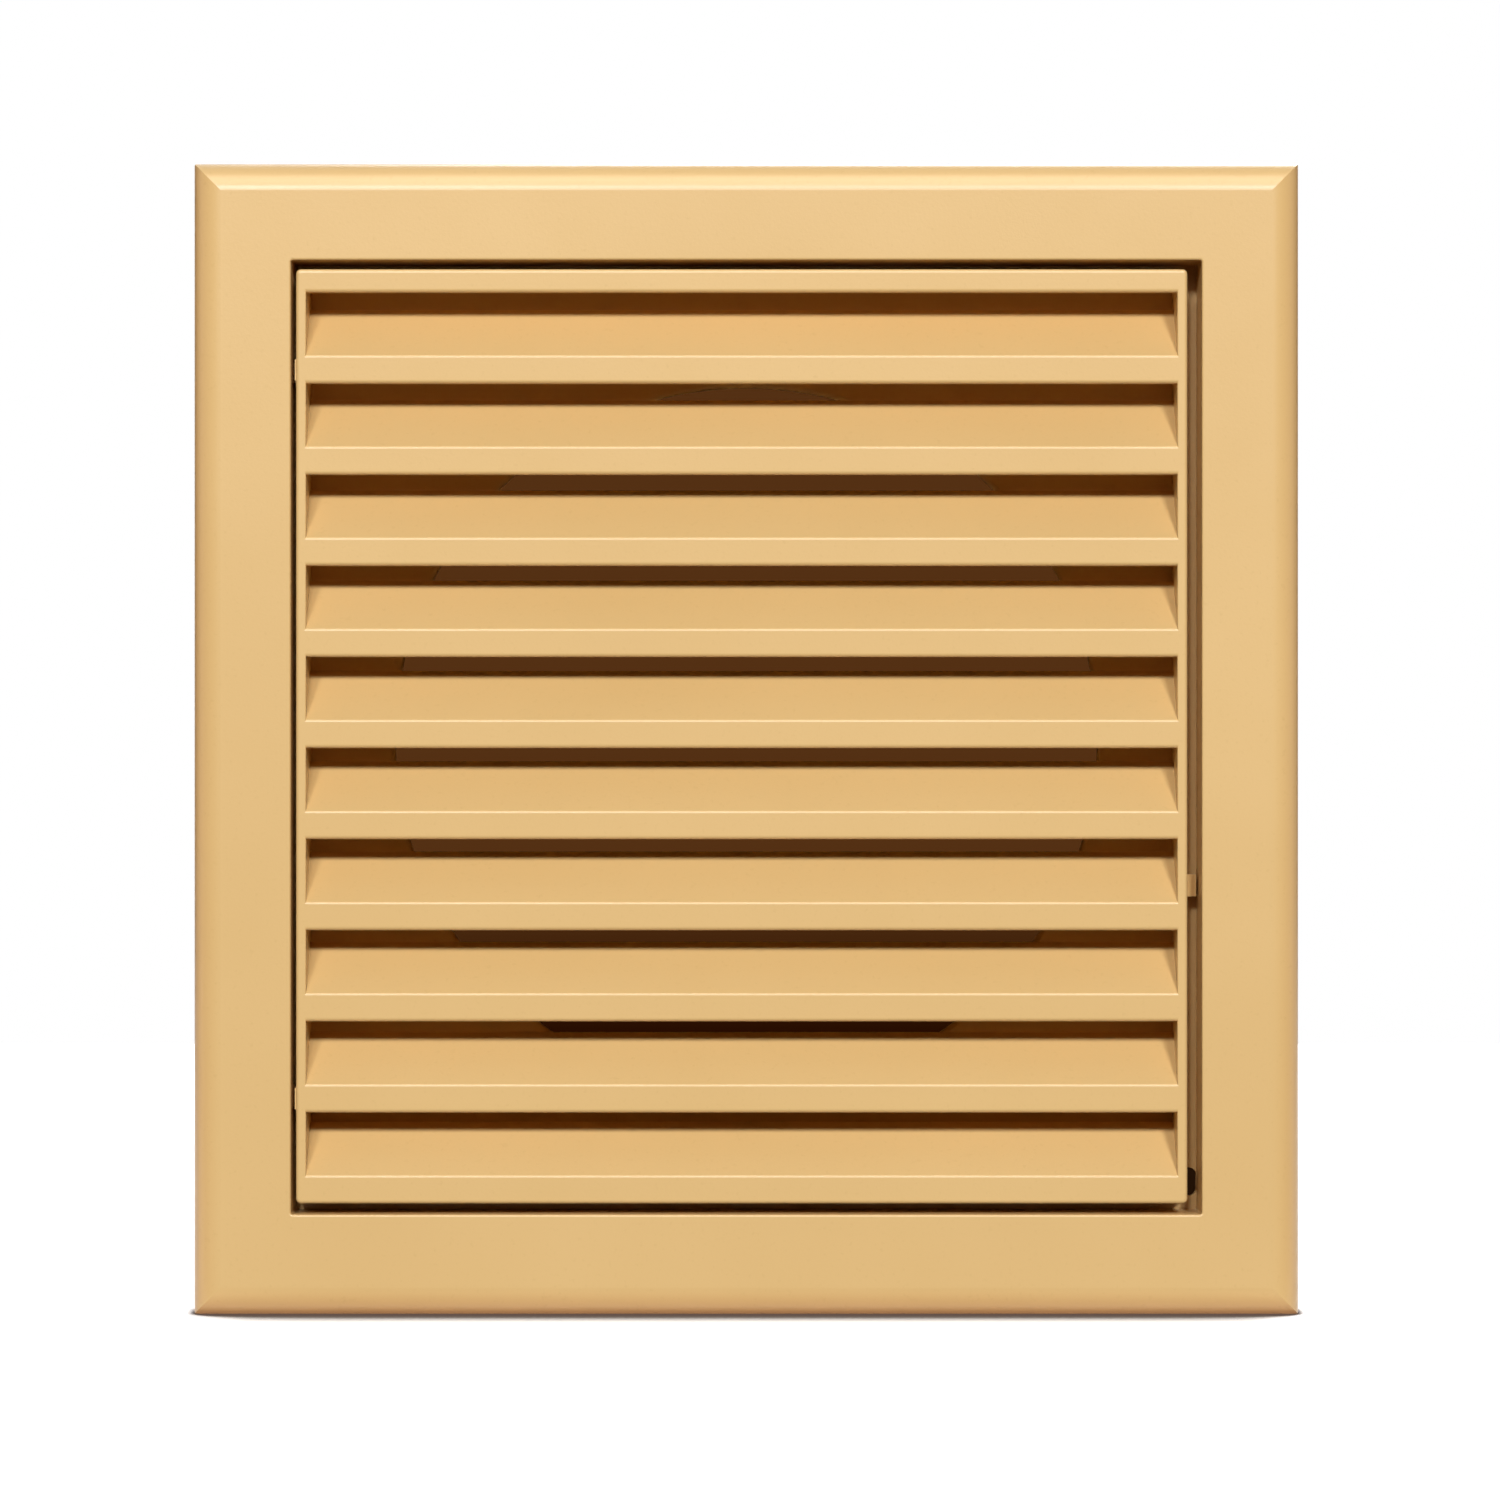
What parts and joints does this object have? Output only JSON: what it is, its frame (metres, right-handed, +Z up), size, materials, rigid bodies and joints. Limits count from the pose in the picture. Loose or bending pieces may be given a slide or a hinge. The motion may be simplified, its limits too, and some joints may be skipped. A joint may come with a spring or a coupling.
{
  "type": "exterior ventilation grille",
  "caption": "Rectangular wall ventilation grille with a snap-in panel of sloping louvres, a hollow outer frame and a round duct spigot at the back.",
  "frame": {"origin": "on the duct spigot's axis, in the plane of the frame's back rim, which sits on the wall", "axes": "+Y into the wall along the duct spigot, +Z up, +X to the right seen from the front"},
  "size_m": [0.24, 0.065, 0.25],
  "materials": {
    "sand_plastic": "satin"
  },
  "bodies": {
    "root": {"outer_frame": "sand_plastic", "louvre_panel": "sand_plastic"}
  },
  "joints": []
}
